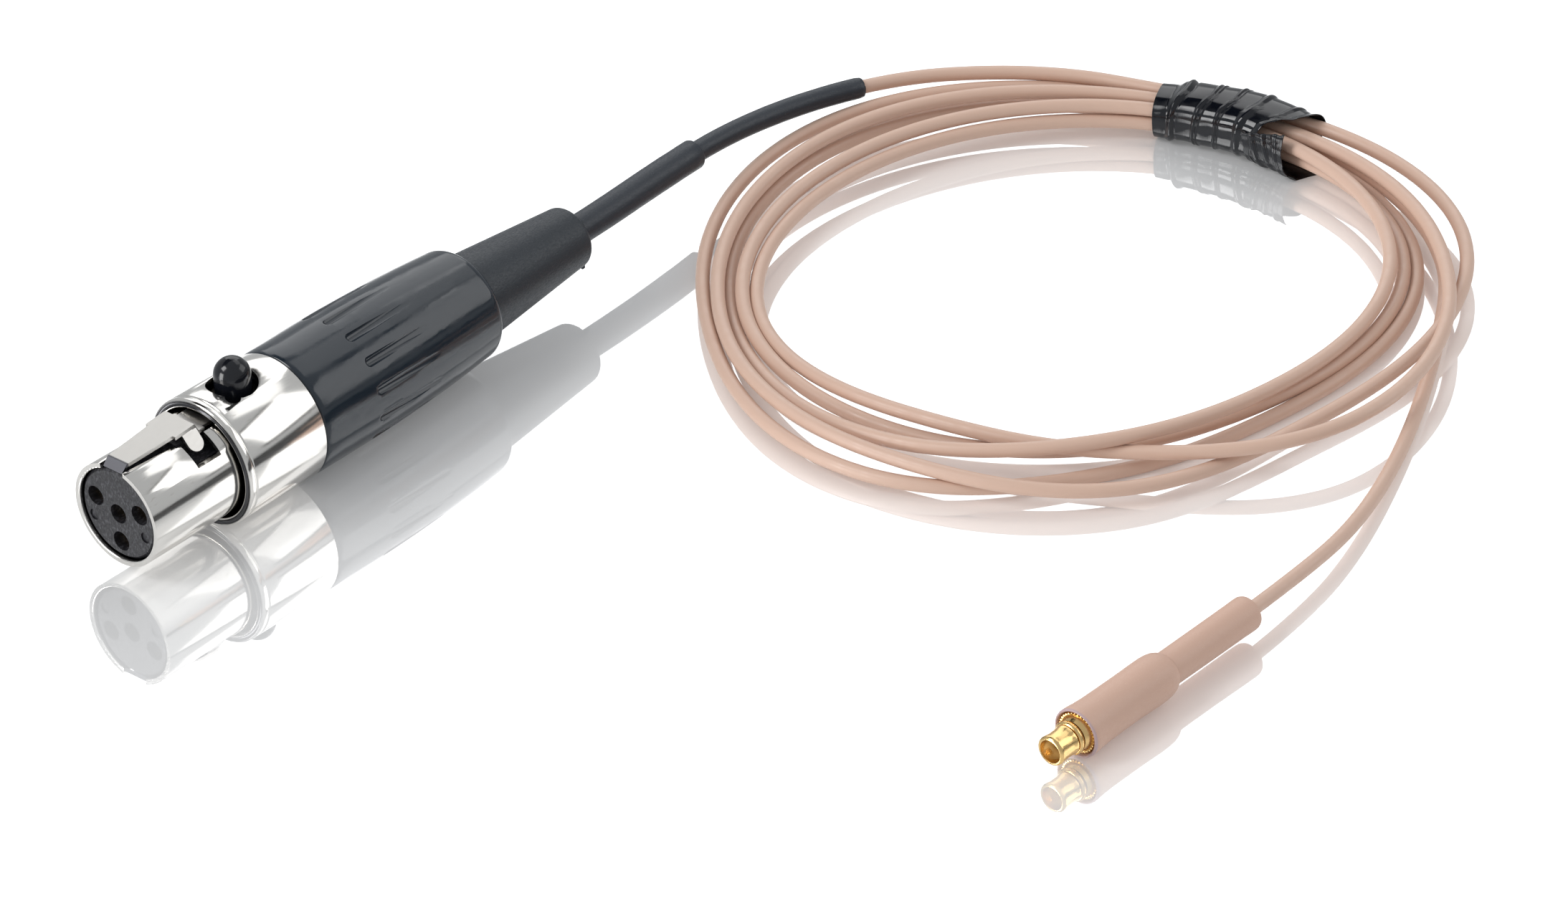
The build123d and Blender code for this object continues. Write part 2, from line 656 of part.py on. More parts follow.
# ---- push-on coaxial plug ----
outer_contact = turned(
    [
        (0, MICRO_BORE_RADIUS),
        (0, MICRO_BARREL_RADIUS - MICRO_RIM_CHAMFER),
        (MICRO_RIM_CHAMFER, MICRO_BARREL_RADIUS),
        (MICRO_WAIST_START, MICRO_BARREL_RADIUS),
        (MICRO_WAIST_START, MICRO_WAIST_RADIUS),
        (MICRO_WAIST_END, MICRO_WAIST_RADIUS),
        (MICRO_WAIST_END, MICRO_CONE_RADIUS),
        (MICRO_BODY_START, MICRO_BODY_RADIUS),
        (MICRO_BODY_END, MICRO_BODY_RADIUS),
        (MICRO_BODY_END, MICRO_STEM_RADIUS),
        (MICRO_STEM_END, MICRO_STEM_RADIUS),
        (MICRO_STEM_END, MICRO_CORE_RADIUS),
        (MICRO_BORE_DEPTH, MICRO_CORE_RADIUS),
        (MICRO_BORE_DEPTH, MICRO_BORE_RADIUS),
    ],
    MICRO_SECTION,
    MICRO_AXIS,
)
save(outer_contact, "micro_outer_contact")

with BuildPart() as snap_ring:
    with BuildSketch(MICRO_SECTION):
        with BuildLine():
            Polyline(
                (MICRO_RING_START, MICRO_RING_SIDE_INNER),
                (MICRO_RING_START, MICRO_RING_SIDE_OUTER),
                (MICRO_RING_MIDDLE, MICRO_RING_RADIUS),
                (MICRO_RING_END, MICRO_RING_SIDE_OUTER),
                (MICRO_RING_END, MICRO_RING_SIDE_INNER),
                (MICRO_RING_MIDDLE, MICRO_WAIST_RADIUS + MICRO_GAP),
                close=True,
            )
        make_face()
    revolve(axis=MICRO_AXIS)
    with Locations((MICRO_TIP[0] + MICRO_RING_START, MICRO_TIP[1], MICRO_TIP[2] - MICRO_RING_RADIUS)):
        Box(MICRO_RING_RADIUS, MICRO_RING_SPLIT, MICRO_RING_RADIUS, mode=Mode.SUBTRACT)
save(snap_ring, "micro_snap_ring")

dielectric = turned(
    [
        (MICRO_DIELECTRIC_START, MICRO_PIN_RADIUS + MICRO_GAP),
        (MICRO_DIELECTRIC_START, MICRO_BORE_RADIUS - MICRO_GAP),
        (MICRO_BORE_DEPTH - MICRO_GAP, MICRO_BORE_RADIUS - MICRO_GAP),
        (MICRO_BORE_DEPTH - MICRO_GAP, MICRO_CORE_RADIUS - MICRO_GAP),
        (MICRO_STEM_END, MICRO_CORE_RADIUS - MICRO_GAP),
        (MICRO_STEM_END, MICRO_PIN_RADIUS + MICRO_GAP),
    ],
    MICRO_SECTION,
    MICRO_AXIS,
)
save(dielectric, "micro_dielectric")

centre_pin = turned(
    [
        (MICRO_PIN_START, 0),
        (MICRO_PIN_START + MICRO_PIN_TAPER, MICRO_PIN_RADIUS),
        (MICRO_STEM_END, MICRO_PIN_RADIUS),
        (MICRO_STEM_END, 0),
    ],
    MICRO_SECTION,
    MICRO_AXIS,
)
save(centre_pin, "micro_centre_pin")

with BuildPart() as crimp_ferrule:
    with BuildSketch(MICRO_SECTION):
        with BuildLine():
            Polyline(
                (MICRO_FLANGE_START, MICRO_BODY_RADIUS + MICRO_GAP),
                (MICRO_FLANGE_START, MICRO_FLANGE_RADIUS),
                (MICRO_FLANGE_END, MICRO_FLANGE_RADIUS),
                (MICRO_FLANGE_END, MICRO_FERRULE_RADIUS),
                (MICRO_FERRULE_END, MICRO_FERRULE_RADIUS),
                (MICRO_FERRULE_END, CABLE_RADIUS + SLEEVE_GAP),
                (MICRO_STEM_END + FIT_GAP, CABLE_RADIUS + SLEEVE_GAP),
                (MICRO_STEM_END + FIT_GAP, MICRO_STEM_RADIUS + MICRO_GAP),
                (MICRO_BODY_END + FIT_GAP, MICRO_STEM_RADIUS + MICRO_GAP),
                (MICRO_BODY_END + FIT_GAP, MICRO_BODY_RADIUS + MICRO_GAP),
                close=True,
            )
        make_face()
    revolve(axis=MICRO_AXIS)
    with BuildSketch(Plane(origin=MICRO_TIP, z_dir=(-1, 0, 0)).offset(-MICRO_FLANGE_START)):
        with PolarLocations(MICRO_FLANGE_RADIUS, MICRO_FLANGE_TEETH):
            RegularPolygon(MICRO_TOOTH_DEPTH, 3, rotation=180)
    extrude(amount=MICRO_FLANGE_START - MICRO_FLANGE_END, mode=Mode.SUBTRACT)
save(crimp_ferrule, "micro_crimp_ferrule")

large_sleeve = turned(
    [
        (MICRO_SLEEVE_START, MICRO_MOUTH_RADIUS - MICRO_SLEEVE_WALL),
        (MICRO_SLEEVE_START, MICRO_MOUTH_RADIUS),
        (MICRO_FLARE_END, MICRO_SLEEVE_RADIUS),
        *MICRO_SHOULDER,
        (MICRO_SHOULDER[-1][0], MICRO_SMALL_SLEEVE_RADIUS + MICRO_GAP),
        (MICRO_NECK_START, MICRO_SMALL_SLEEVE_RADIUS + MICRO_GAP),
        (MICRO_TAPER_START, MICRO_SLEEVE_RADIUS - MICRO_SLEEVE_WALL),
        (MICRO_FLARE_END, MICRO_SLEEVE_RADIUS - MICRO_SLEEVE_WALL),
    ],
    MICRO_SECTION,
    MICRO_AXIS,
)
save(large_sleeve, "micro_large_sleeve")

small_sleeve = turned(
    [
        (MICRO_SMALL_SLEEVE_START, CABLE_RADIUS + SLEEVE_GAP),
        (MICRO_SMALL_SLEEVE_START, MICRO_SMALL_SLEEVE_RADIUS),
        (MICRO_SLEEVE_END - MICRO_END_CHAMFER, MICRO_SMALL_SLEEVE_RADIUS),
        (MICRO_SLEEVE_END, MICRO_SMALL_SLEEVE_RADIUS - MICRO_END_CHAMFER),
        (MICRO_SLEEVE_END, CABLE_RADIUS + SLEEVE_GAP),
    ],
    MICRO_SECTION,
    MICRO_AXIS,
)
save(small_sleeve, "micro_small_sleeve")

micro_cable = turned(
    [
        (MICRO_STEM_END + FIT_GAP, 0),
        (MICRO_STEM_END + FIT_GAP, CABLE_RADIUS),
        (MICRO_SLEEVE_END, CABLE_RADIUS),
        (MICRO_SLEEVE_END, 0),
    ],
    MICRO_SECTION,
    MICRO_AXIS,
)
save(micro_cable, "micro_cable_end")
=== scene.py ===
"""Looks of a headset microphone's detachable cable: plug, taped coil and gilt coaxial plug.

Metres, in the frame of the CAD model: the plug lies along X with its mating face towards -X.
"""

import json
from math import atan2, cos, degrees, hypot, pi, radians, sin

import bmesh
import bpy
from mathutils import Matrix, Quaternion, Vector, noise


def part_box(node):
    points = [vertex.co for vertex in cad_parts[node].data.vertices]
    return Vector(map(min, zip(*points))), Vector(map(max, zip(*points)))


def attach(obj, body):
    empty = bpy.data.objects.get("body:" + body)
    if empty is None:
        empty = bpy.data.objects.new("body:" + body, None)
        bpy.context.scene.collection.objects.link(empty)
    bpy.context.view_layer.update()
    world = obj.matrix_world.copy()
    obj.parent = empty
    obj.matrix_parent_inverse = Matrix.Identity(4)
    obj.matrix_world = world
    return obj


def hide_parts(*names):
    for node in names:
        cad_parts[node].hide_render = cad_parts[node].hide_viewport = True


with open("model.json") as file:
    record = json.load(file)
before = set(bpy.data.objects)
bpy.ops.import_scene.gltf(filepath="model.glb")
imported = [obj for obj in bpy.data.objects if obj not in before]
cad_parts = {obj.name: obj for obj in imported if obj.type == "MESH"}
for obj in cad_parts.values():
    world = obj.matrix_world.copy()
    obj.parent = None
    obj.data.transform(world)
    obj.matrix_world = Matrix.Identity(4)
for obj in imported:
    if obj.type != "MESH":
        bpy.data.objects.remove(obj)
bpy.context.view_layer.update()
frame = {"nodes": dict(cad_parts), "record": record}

MM = 0.001

# ---- places in the CAD model that the looks depend on ----
plug_low, plug_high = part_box("handle")
plug_axis = (plug_low + plug_high) / 2
boot_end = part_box("flex_relief_boot")[1]
barrel_low, barrel_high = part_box("micro_outer_contact")
barrel_axis = (barrel_low + barrel_high) / 2
MICRO_TIP = Vector((barrel_low.x, barrel_axis.y, barrel_axis.z))
NOSE_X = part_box("nose_shell")[0].x
LIP_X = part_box("collar_sleeve")[0].x
COVERED_FROM = LIP_X + 0.3 * MM

# ---- cable: the CAD route of its two stretches in metres, and the turns of the coil between them ----
CABLE_DIAMETER = 0.00106
LEAD_ROUTE = [
    (0.0170, 0.0, 0.00495),
    (0.0250, 0.0, 0.00495),
    (0.0333, 0.00045, 0.00497),
    (0.0412, 0.0010, 0.0046),
    (0.0496, 0.0001, 0.00385),
    (0.0572, -0.0025, 0.0031),
    (0.0623, -0.0072, 0.0028),
    (0.0656, -0.0124, 0.0027),
    (0.0673, -0.0176, 0.00265),
]
TAIL_ROUTE = [
    (0.0611, -0.0509, 0.0009),
    (0.0542, -0.0552, 0.0006),
    (0.0469, -0.0593, 0.00055),
    (0.0392, -0.0629, 0.0007),
    (0.0318, -0.0656, 0.0012),
    (0.0250, -0.0669, 0.00175),
    (0.0181, -0.0672, 0.0019),
]
COIL_CENTRE = (0.0433, -0.0297)
# Angle of the taped place about the coil's centre.
TIE_ANGLE = 11.6
POINTS_PER_TURN = 36
# Part of a turn that is left free before the first point of the tail.
TAIL_CLEARANCE = 0.01
# Radius and height in millimetres of each strand under the tape, in the order that it passes there.
TIED_STRANDS = [(26.5, 2.65), (25.4, 2.5), (24.35, 1.25), (24.2, 2.45), (25.4, 1.1), (26.6, 1.4)]
# Radius and height in millimetres of each turn at these parts of a turn past the tape.
LOOSE_PARTS = (0.15, 0.30, 0.40, 0.50, 0.65, 0.82)
LOOSE_TURNS = [
    [(29.4, 2.1), (25.4, 1.15), (27.3, 1.4), (26.0, 2.1), (25.0, 1.9), (26.8, 2.9)],
    [(27.1, 2.7), (29.3, 2.8), (23.1, 2.0), (20.5, 2.1), (22.2, 1.7), (22.8, 1.8)],
    [(24.8, 1.3), (21.4, 1.2), (20.9, 0.9), (21.4, 1.0), (23.2, 1.9), (23.8, 2.6)],
    [(23.8, 2.3), (21.8, 2.5), (23.4, 3.1), (24.4, 2.3), (24.0, 1.1), (26.9, 1.6)],
    [(25.8, 0.75), (22.3, 0.55), (23.7, 0.55), (27.3, 1.0), (25.9, 1.2), (29.4, 2.2)],
]


# ---------------------------------------------------------------- camera
VIEW_CENTRE = Vector((0.0155, -0.0272, 0.0))
VIEW_DISTANCE = 0.6076
VIEW_AZIMUTH = -46.42
VIEW_ELEVATION = 32.655
VIEW_ROLL = -3.65
LENS = 198.0


def direction(azimuth, elevation):
    """Unit vector towards a viewer: azimuth 0 stands at -Y, elevation is above the floor."""
    a, e = radians(azimuth), radians(elevation)
    return Vector((sin(a) * cos(e), -cos(a) * cos(e), sin(e)))


def make_camera():
    data = bpy.data.cameras.new("camera")
    data.lens = LENS
    data.clip_start = 0.02
    camera = bpy.data.objects.new("camera", data)
    bpy.context.collection.objects.link(camera)
    back = direction(VIEW_AZIMUTH, VIEW_ELEVATION)
    camera.location = VIEW_CENTRE + back * VIEW_DISTANCE
    camera.rotation_mode = "QUATERNION"
    turn = Quaternion((0, 0, 1), radians(VIEW_ROLL))
    camera.rotation_quaternion = (-back).to_track_quat("-Z", "Y") @ turn
    bpy.context.scene.camera = camera


make_camera()


# ---------------------------------------------------------------- mesh helpers
def link(name, data):
    made = bpy.data.objects.new(name, data)
    bpy.context.collection.objects.link(made)
    return made


def mesh_object(name, bm, sharp=35.0):
    """Object from a bmesh, shaded smooth except across edges that turn by more than sharp degrees."""
    bmesh.ops.recalc_face_normals(bm, faces=bm.faces)
    for face in bm.faces:
        face.smooth = True
    for edge in bm.edges:
        if len(edge.link_faces) == 2 and edge.calc_face_angle() > radians(sharp):
            edge.smooth = False
    data = bpy.data.meshes.new(name)
    bm.to_mesh(data)
    bm.free()
    return link(name, data)


def skin(bm, rings, closed=False):
    """Faces between neighbouring rings of vertices, all with the same count."""
    count = len(rings[0])
    pairs = list(zip(rings, rings[1:]))
    if closed:
        pairs.append((rings[-1], rings[0]))
    for near, far in pairs:
        for i in range(count):
            j = (i + 1) % count
            bm.faces.new((near[i], near[j], far[j], far[i]))


def lathe(name, origin, outline, segments=96, closed=True):
    """Solid of revolution about the line along +X through origin, from (station, radius) in mm."""
    bm = bmesh.new()
    rings = []
    for station, radius in outline:
        ring = []
        for i in range(segments):
            a = 2 * pi * i / segments
            offset = Vector((station, radius * cos(a), radius * sin(a))) * MM
            ring.append(bm.verts.new(origin + offset))
        rings.append(ring)
    skin(bm, rings, closed)
    return mesh_object(name, bm)


def finish_piece(piece, body, paint, replaced=()):
    """Gives a new piece its finish and its body, and hides the CAD nodes that it stands for."""
    piece.data.materials.append(paint)
    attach(piece, body)
    if replaced:
        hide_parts(*replaced)
    return piece


# ---------------------------------------------------------------- cable
def around_coil(point, turn):
    """(turns past the tape, radius, height) of a route's point beside the coil, in millimetres."""
    x, y, z = point
    angle = degrees(atan2(y - COIL_CENTRE[1], x - COIL_CENTRE[0]))
    radius = hypot(x - COIL_CENTRE[0], y - COIL_CENTRE[1])
    return turn + (TIE_ANGLE - angle) / 360, radius / MM, z / MM


def coil_stations():
    """Where the cable is all the way round, from the end of the lead to the start of the tail."""
    stations = [around_coil(point, 0) for point in LEAD_ROUTE[-2:]]
    for turn, loose in enumerate(LOOSE_TURNS):
        stations.append((turn, *TIED_STRANDS[turn]))
        stations += [(turn + part, *place) for part, place in zip(LOOSE_PARTS, loose)]
    stations.append((len(LOOSE_TURNS), *TIED_STRANDS[-1]))
    return stations + [around_coil(point, len(LOOSE_TURNS)) for point in TAIL_ROUTE[:2]]


def slope(stations, i, column):
    """Change of a column per turn at a station, from its two neighbours."""
    before = stations[max(i - 1, 0)]
    after = stations[min(i + 1, len(stations) - 1)]
    return (after[column] - before[column]) / (after[0] - before[0])


def between(stations, i, turns, column):
    """Value on a smooth curve through the stations, between station i and the next."""
    start, end = stations[i], stations[i + 1]
    width = end[0] - start[0]
    s = (turns - start[0]) / width
    bend_in = slope(stations, i, column) * width
    bend_out = slope(stations, i + 1, column) * width
    return (
        (2 * s**3 - 3 * s**2 + 1) * start[column]
        + (s**3 - 2 * s**2 + s) * bend_in
        + (3 * s**2 - 2 * s**3) * end[column]
        + (s**3 - s**2) * bend_out
    )


def coil_points():
    """The turns of the coil, clockwise from above, spaced evenly round it."""
    stations = coil_stations()
    last = stations[-2][0] - TAIL_CLEARANCE
    points = []
    i, step = 0, 0
    while step / POINTS_PER_TURN < last:
        turns = step / POINTS_PER_TURN
        while stations[i + 1][0] <= turns:
            i += 1
        radius = between(stations, i, turns, 1) * MM
        height = between(stations, i, turns, 2) * MM
        angle = radians(TIE_ANGLE - 360 * turns)
        x, y = COIL_CENTRE[0] + radius * cos(angle), COIL_CENTRE[1] + radius * sin(angle)
        points.append((x, y, height))
        step += 1
    return points


def nurbs_curve(name, points):
    data = bpy.data.curves.new(name, "CURVE")
    data.dimensions = "3D"
    data.resolution_u = 8
    spline = data.splines.new("NURBS")
    spline.points.add(len(points) - 1)
    for target, point in zip(spline.points, points):
        target.co = (*point, 1.0)
    spline.order_u = 3
    spline.use_endpoint_u = True
    return link(name, data)


def centreline(curve):
    """Points along a curve that has no bevel yet."""
    bpy.context.view_layer.update()
    evaluated = curve.evaluated_get(bpy.context.evaluated_depsgraph_get())
    data = bpy.data.meshes.new_from_object(evaluated)
    points = [vertex.co.copy() for vertex in data.vertices]
    bpy.data.meshes.remove(data)
    return points


cable = nurbs_curve("cable", LEAD_ROUTE + coil_points() + TAIL_ROUTE)
cable_line = centreline(cable)
cable.data.bevel_depth = CABLE_DIAMETER / 2
cable.data.bevel_resolution = 6


# ---------------------------------------------------------------- finishes
# Dark tints on the locking plug: painted shade in the bores, under the collar and in the groove at the
# front of the lip, and a dark tint on the front tip of the latch. Starts and ends are millimetres behind
# the front of the piece that carries the tint, and radii are about the plug's axis.
# Painted shade in the bores of the nickel tubes, and where the collar covers the nose and the latch.
BORE_PAINTED_SHADE = (0.022, 0.019, 0.016)
BORE_SHADE_START = (0.12, 0.30)
NOSE_BORE_RADIUS = 3.66
LIP_BORE_RADIUS = 4.72
COVERED_FADE = 0.0002
# Painted shade on the front of the lip, in the groove there.
GROOVE_PAINTED_SHADE = (0.09, 0.09, 0.095)
GROOVE_RADII = (4.40, 4.80)
GROOVE_END = (0.15, 0.20)
LATCH_TIP_TINT = (0.10, 0.10, 0.11)
LATCH_TIP_END = (0.7, 0.9)
# Dull mouth of the large tan sleeve, in millimetres behind the coaxial plug's tip.
MOUTH_TINT = (0.50, 0.36, 0.37)
MOUTH_END = (2.72, 2.88)


def paint(name, colour, roughness, metallic=0.0, ior=1.5):
    made = bpy.data.materials.new(name)
    made.use_nodes = True
    shader = made.node_tree.nodes["Principled BSDF"]
    shader.inputs["Base Color"].default_value = (*colour, 1)
    shader.inputs["Roughness"].default_value = roughness
    shader.inputs["Metallic"].default_value = metallic
    shader.inputs["IOR"].default_value = ior
    return made


def wire(made, output, target):
    """Links one socket of a finish to another."""
    made.node_tree.links.new(output, target)


def shader_of(made):
    return made.node_tree.nodes["Principled BSDF"]


def grain(made, stretch, detail=2.0):
    """Noise whose grains are about 1/stretch millimetres along each axis, as a value from 0 to 1."""
    nodes = made.node_tree.nodes
    coordinates = nodes.new("ShaderNodeTexCoord")
    mapping = nodes.new("ShaderNodeMapping")
    mapping.inputs["Scale"].default_value = [value / MM for value in stretch]
    texture = nodes.new("ShaderNodeTexNoise")
    texture.inputs["Scale"].default_value = 1.0
    texture.inputs["Detail"].default_value = detail
    wire(made, coordinates.outputs["Object"], mapping.inputs["Vector"])
    wire(made, mapping.outputs["Vector"], texture.inputs["Vector"])
    return texture.outputs["Fac"]


def remap(made, value, source, target):
    """Value moved from the range source to the range target, smoothly."""
    node = made.node_tree.nodes.new("ShaderNodeMapRange")
    node.interpolation_type = "SMOOTHSTEP"
    for socket, number in zip(("From Min", "From Max", "To Min", "To Max"), (*source, *target)):
        node.inputs[socket].default_value = number
    wire(made, value, node.inputs["Value"])
    return node.outputs["Result"]


def flipped(made, value):
    """1 where the value is 0 and 0 where it is 1."""
    return remap(made, value, (0.0, 1.0), (1.0, 0.0))


def tint(made, value, colour):
    """Base colour turns to colour as value goes from 0 to 1."""
    target = shader_of(made).inputs["Base Color"]
    node = made.node_tree.nodes.new("ShaderNodeMix")
    node.data_type = "RGBA"
    start, end = node.inputs[6], node.inputs[7]
    start.default_value = target.default_value
    end.default_value = (*colour, 1)
    if target.is_linked:
        wire(made, target.links[0].from_socket, start)
    wire(made, value, node.inputs["Factor"])
    wire(made, node.outputs[2], target)


def emboss(made, value, height):
    """Relief of that height in millimetres, on top of any that the finish already has."""
    target = shader_of(made).inputs["Normal"]
    node = made.node_tree.nodes.new("ShaderNodeBump")
    node.inputs["Strength"].default_value = 1.0
    node.inputs["Distance"].default_value = height * MM
    if target.is_linked:
        wire(made, target.links[0].from_socket, node.inputs["Normal"])
    wire(made, value, node.inputs["Height"])
    wire(made, node.outputs["Normal"], target)


def polish(made, value, low, high):
    """Roughness between low and high."""
    wire(made, remap(made, value, (0.3, 0.7), (low, high)), shader_of(made).inputs["Roughness"])


def along_x(made, start, end):
    """0 before start and 1 after end, both places along X in metres."""
    nodes = made.node_tree.nodes
    coordinates = nodes.new("ShaderNodeTexCoord")
    parts = nodes.new("ShaderNodeSeparateXYZ")
    wire(made, coordinates.outputs["Object"], parts.inputs["Vector"])
    return remap(made, parts.outputs["X"], (start, end), (0.0, 1.0))


def behind(made, front, rise):
    """0 at front and 1 farther along X, rising between two distances in millimetres behind it."""
    return along_x(made, front + rise[0] * MM, front + rise[1] * MM)


def inside(made, radius):
    """1 inside that radius in millimetres about the locking plug's axis, 0 outside it."""
    nodes = made.node_tree.nodes
    coordinates = nodes.new("ShaderNodeTexCoord")
    offset = nodes.new("ShaderNodeVectorMath")
    offset.operation = "SUBTRACT"
    offset.inputs[1].default_value = (0, 0, plug_axis.z)
    flat = nodes.new("ShaderNodeVectorMath")
    flat.operation = "MULTIPLY"
    flat.inputs[1].default_value = (0, 1, 1)
    length = nodes.new("ShaderNodeVectorMath")
    length.operation = "LENGTH"
    wire(made, coordinates.outputs["Object"], offset.inputs[0])
    wire(made, offset.outputs["Vector"], flat.inputs[0])
    wire(made, flat.outputs["Vector"], length.inputs[0])
    edge = ((radius - 0.04) * MM, (radius + 0.04) * MM)
    return remap(made, length.outputs["Value"], edge, (1.0, 0.0))


def product(made, first, second):
    """One value times the other."""
    node = made.node_tree.nodes.new("ShaderNodeMath")
    node.operation = "MULTIPLY"
    wire(made, first, node.inputs[0])
    wire(made, second, node.inputs[1])
    return node.outputs["Value"]


def painted_cover_shade(made):
    """Painted shade where the collar covers the nose and the latch."""
    tint(made, along_x(made, COVERED_FROM, COVERED_FROM + COVERED_FADE), BORE_PAINTED_SHADE)


def nickel(name, front, bore):
    """Drawn nickel plate on a tube that starts at front, with painted shade in its bore."""
    made = paint(name, (0.82, 0.80, 0.765), 0.14, metallic=1.0)
    polish(made, grain(made, (0.4, 9, 9)), 0.125, 0.15)
    stains = remap(made, grain(made, (1.2, 5, 5), 4.0), (0.62, 0.8), (0.0, 0.5))
    tint(made, stains, (0.55, 0.50, 0.44))
    # Painted shade in the bore, behind the front.
    hollow_shade = product(made, inside(made, bore), behind(made, front, BORE_SHADE_START))
    tint(made, hollow_shade, BORE_PAINTED_SHADE)
    emboss(made, grain(made, (4, 9, 9), 3.0), 0.0005)
    emboss(made, grain(made, (0.1, 22, 22)), 0.0004)
    return made


def nose_nickel():
    """Nickel with painted shade where the collar covers it."""
    made = nickel("nickel_nose", NOSE_X, NOSE_BORE_RADIUS)
    painted_cover_shade(made)
    return made


def collar_nickel():
    """Nickel with painted shade in the groove that is turned in the front of the lip."""
    made = nickel("nickel_collar", LIP_X, LIP_BORE_RADIUS)
    inner, outer = GROOVE_RADII
    # Painted shade on the front of the lip between the groove's radii.
    groove = product(made, inside(made, outer), flipped(made, inside(made, inner)))
    front = flipped(made, behind(made, LIP_X, GROOVE_END))
    tint(made, product(made, groove, front), GROOVE_PAINTED_SHADE)
    return made


def black_moulding(name, colour, roughness, ripple, ior=1.45):
    """Glossy moulded plastic with a slight orange peel."""
    made = paint(name, colour, roughness, ior=ior)
    polish(made, grain(made, (0.5, 2, 2), 4.0), roughness * 0.8, roughness * 1.5)
    emboss(made, grain(made, (1.3, 2.2, 2.2), 3.0), ripple)
    return made


def rubber(name, colour, roughness, grains, relief, sheen_speck=None):
    """Matte elastomer with a fine grain, and pale specks in its colour that are painted sheen."""
    made = paint(name, colour, roughness)
    value = grain(made, grains, 4.0)
    polish(made, value, roughness - 0.08, roughness + 0.10)
    emboss(made, value, relief)
    if sheen_speck:
        # Pale specks of painted sheen on the grain.
        sheen_specks = remap(made, grain(made, (14, 14, 14), 1.0), (0.66, 0.78), (0.0, 0.6))
        tint(made, sheen_specks, sheen_speck)
    return made


def moulded_insert():
    """Black moulded phenolic with grey mottling and thin pale streaks."""
    made = paint("phenolic", (0.012, 0.012, 0.015), 0.45, ior=1.42)
    mottling = remap(made, grain(made, (3.0, 5.5, 3.0), 5.0), (0.48, 0.72), (0.0, 1.0))
    tint(made, mottling, (0.060, 0.060, 0.068))
    streaks = remap(made, grain(made, (2, 13, 1.2), 2.0), (0.66, 0.72), (0.0, 1.0))
    tint(made, streaks, (0.13, 0.13, 0.14))
    emboss(made, grain(made, (9, 9, 9), 4.0), 0.02)
    polish(made, grain(made, (5, 5, 5)), 0.3, 0.6)
    return made


def gilding():
    """Bright gold plate."""
    made = paint("gilt", (0.87, 0.60, 0.26), 0.13, metallic=1.0)
    polish(made, grain(made, (2, 9, 9), 3.0), 0.14, 0.28)
    emboss(made, grain(made, (2, 8, 8), 3.0), 0.004)
    return made


def stamped_steel():
    """Nickelled spring strip, with a dark tint on its front tip and painted shade under the collar."""
    made = paint("spring_steel", (0.54, 0.525, 0.50), 0.33, metallic=1.0)
    polish(made, grain(made, (2, 14, 14), 4.0), 0.30, 0.36)
    emboss(made, grain(made, (4, 16, 16), 4.0), 0.0005)
    tint(made, flipped(made, behind(made, NOSE_X, LATCH_TIP_END)), LATCH_TIP_TINT)
    painted_cover_shade(made)
    return made


def vinyl():
    """Glossy stretched vinyl tape."""
    made = paint("vinyl_tape", (0.003, 0.004, 0.007), 0.08, ior=1.52)
    polish(made, grain(made, (2, 2, 2), 3.0), 0.05, 0.12)
    emboss(made, grain(made, (3, 3, 3), 3.0), 0.0015)
    return made


def tan_shrink():
    """Tan shrink sleeve, a little duller at the mouth of the large one."""
    made = rubber("tan_sleeve", (0.625, 0.405, 0.31), 0.46, (6, 6, 6), 0.010, (0.76, 0.54, 0.43))
    tint(made, flipped(made, behind(made, MICRO_TIP.x, MOUTH_END)), MOUTH_TINT)
    return made


# ---------------------------------------------------------------- sleeves, tape and the coaxial plug
def along(line, start_x, end_x):
    """The part of a line between two places along X, with both ends cut exactly there."""
    points = []
    for a, b in zip(line, line[1:]):
        if a.x < start_x <= b.x:
            points.append(a.lerp(b, (start_x - a.x) / (b.x - a.x)))
        if b.x > end_x:
            points.append(a.lerp(b, (end_x - a.x) / (b.x - a.x)))
            return points
        if b.x > start_x:
            points.append(b)
    return points


SLEEVE_SEGMENTS = 48
# Both sleeves on the lead begin this far behind the nose, inside the boot.
SLEEVES_START = 40.4


def shrunk_sleeve(name, line, radius, bore, lip):
    """Tube round a line, with a rounded and slightly uneven cut at each end. Sizes in millimetres."""
    bm = bmesh.new()
    last = len(line) - 1
    outer = [(0, radius - lip, 0.0), (0, radius - 0.4 * lip, 0.06)]
    outer += [(i, radius + 0.012 * noise.noise(line[i] / (0.9 * MM)), 0.0) for i in range(1, last)]
    outer += [(last, radius - 0.4 * lip, -0.06), (last, radius - lip, 0.0)]
    inner = [(i, bore, 0.0) for i in range(last, -1, -1)]
    rings = []
    for i, r, shift in outer + inner:
        forward = (line[min(i + 1, last)] - line[max(i - 1, 0)]).normalized()
        side = forward.cross(Vector((0, 0, 1))).normalized()
        up = side.cross(forward)
        ring = []
        for j in range(SLEEVE_SEGMENTS):
            a = 2 * pi * j / SLEEVE_SEGMENTS
            cut = 0.05 * noise.noise(Vector((3 * cos(a), 3 * sin(a), line[i].x / MM)))
            outwards = side * cos(a) + up * sin(a)
            ring.append(bm.verts.new(line[i] + forward * (shift + cut) * MM + outwards * r * MM))
        rings.append(ring)
    skin(bm, rings, closed=True)
    return mesh_object(name, bm, 50.0)


def table_value(table, x):
    """Value between the rows (x, value) of a table, eased."""
    for (x0, v0), (x1, v1) in zip(table, table[1:]):
        if x <= x1:
            t = max(0.0, (x - x0) / (x1 - x0))
            t = t * t * (3 - 2 * t)
            return v0 + (v1 - v0) * t
    return table[-1][1]


def bump(x, centre, width):
    """1 at centre, falling to 0 one width away."""
    t = min(1.0, abs(x - centre) / width)
    return (1 - t * t) ** 2


